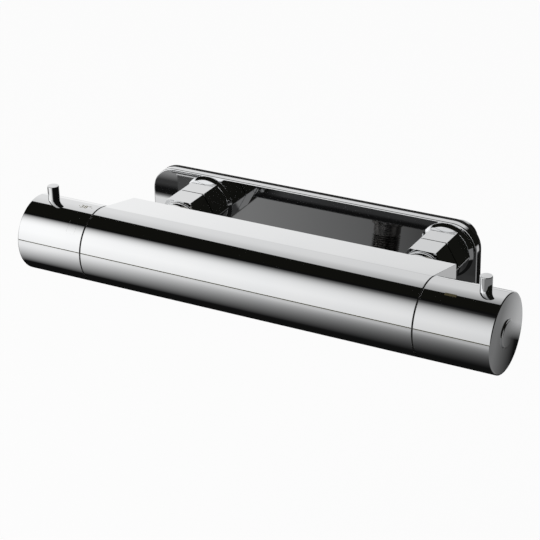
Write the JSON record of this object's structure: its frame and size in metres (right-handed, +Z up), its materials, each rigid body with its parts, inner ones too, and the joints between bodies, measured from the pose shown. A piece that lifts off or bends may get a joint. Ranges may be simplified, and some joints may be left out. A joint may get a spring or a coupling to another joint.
{
  "type": "thermostatic shower valve",
  "caption": "Wall-mounted thermostatic bar shower valve: round chromed body with a knob and short lever at each end, hexagon unions, wall plate and bottom outlet.",
  "frame": {"origin": "on the wall plane, midway between the two water inlets", "axes": "+X to the right as seen from the front, +Y into the wall, +Z up; the body's own axis runs along X, 82 mm out from the wall"},
  "size_m": [0.2828, 0.1182, 0.069],
  "materials": {
    "body_chrome": "polished chrome",
    "plate_chrome": "polished chrome",
    "fitting_chrome": "polished chrome",
    "knob_chrome": "polished chrome",
    "lever_chrome": "polished chrome",
    "cap_chrome": "polished chrome",
    "turned_brass": "turned, satin",
    "nickel_brass": "turned, nickel plated",
    "black_rubber": "matt",
    "black_plastic": "moulded, matt",
    "white_plastic": "moulded, satin",
    "tan_plastic": "moulded, satin",
    "spring_steel": "drawn wire",
    "plain_steel": "turned",
    "ceramic": "lapped ceramic, white"
  },
  "bodies": {
    "valve": {"valve_body": "body_chrome", "wall_plate": "plate_chrome", "wall_gasket": "black_rubber", "plate_rings": "fitting_chrome", "hot_wall_union": "fitting_chrome", "cold_wall_union": "fitting_chrome", "hot_union_nut": "fitting_chrome", "cold_union_nut": "fitting_chrome", "hot_inlet_tail": "nickel_brass", "cold_inlet_tail": "nickel_brass", "inlet_tail_seals": "black_rubber", "inlet_washers": "black_rubber", "inlet_filters": "plain_steel", "hot_check_housing": "white_plastic", "cold_check_housing": "white_plastic", "hot_check_spring": "spring_steel", "cold_check_spring": "spring_steel", "outlet_nipple": "fitting_chrome", "outlet_seal": "black_rubber", "thermostat_housing": "tan_plastic", "thermostat_seals": "black_rubber", "thermostat_lock_nut": "turned_brass", "temperature_stop_ring": "white_plastic", "shuttle_return_spring": "spring_steel", "knob_glide_rings": "black_plastic", "flow_cartridge_housing": "tan_plastic", "flow_cartridge_seals": "black_rubber", "flow_lock_nut": "turned_brass", "flow_stop_ring": "white_plastic", "fixed_ceramic_disc": "ceramic", "flow_base_seal": "black_rubber"},
    "temperature_knob": {"temperature_knob": "knob_chrome", "temperature_lever": "lever_chrome", "temperature_knob_screw": "plain_steel", "temperature_knob_cap": "cap_chrome", "temperature_spindle": "turned_brass", "temperature_spindle_seal": "black_rubber"},
    "thermostat_carriage": {"spindle_nut": "tan_plastic", "overtravel_spring": "spring_steel", "thrust_cup": "plain_steel", "wax_element": "turned_brass", "shuttle": "plain_steel"},
    "flow_knob": {"flow_knob": "knob_chrome", "flow_lever": "lever_chrome", "flow_knob_screw": "plain_steel", "flow_knob_cap": "cap_chrome", "flow_spindle": "turned_brass", "flow_spindle_seal": "black_rubber", "moving_ceramic_disc": "ceramic"},
    "hot_check_poppet": {"hot_check_poppet": "white_plastic"},
    "cold_check_poppet": {"cold_check_poppet": "white_plastic"}
  },
  "joints": [
    {"name": "temperature_turn", "type": "hinge", "parent": "valve", "child": "temperature_knob", "pos_m": [-0.1195, -0.082, 0], "axis": [1, 0, 0], "range_deg": [-135, 45]},
    {"name": "thermostat_travel", "type": "slide", "parent": "valve", "child": "thermostat_carriage", "axis": [1, 0, 0], "range_m": [-0.0012, 0.0004], "deforming": ["shuttle_return_spring"]},
    {"name": "flow_turn", "type": "hinge", "parent": "valve", "child": "flow_knob", "pos_m": [0.1195, -0.082, 0], "axis": [1, 0, 0], "range_deg": [0, 90]},
    {"name": "hot_check_travel", "type": "slide", "parent": "valve", "child": "hot_check_poppet", "axis": [0, -1, 0], "range_m": [0, 0.0025], "stiffness_N_per_m": 40, "springref_m": -0.003, "deforming": ["hot_check_spring"]},
    {"name": "cold_check_travel", "type": "slide", "parent": "valve", "child": "cold_check_poppet", "axis": [0, -1, 0], "range_m": [0, 0.0025], "stiffness_N_per_m": 40, "springref_m": -0.003, "deforming": ["cold_check_spring"]}
  ],
  "couplings": [
    {"joint": "thermostat_travel", "follows": "temperature_turn", "m_per_rad": 0.00047746}
  ]
}
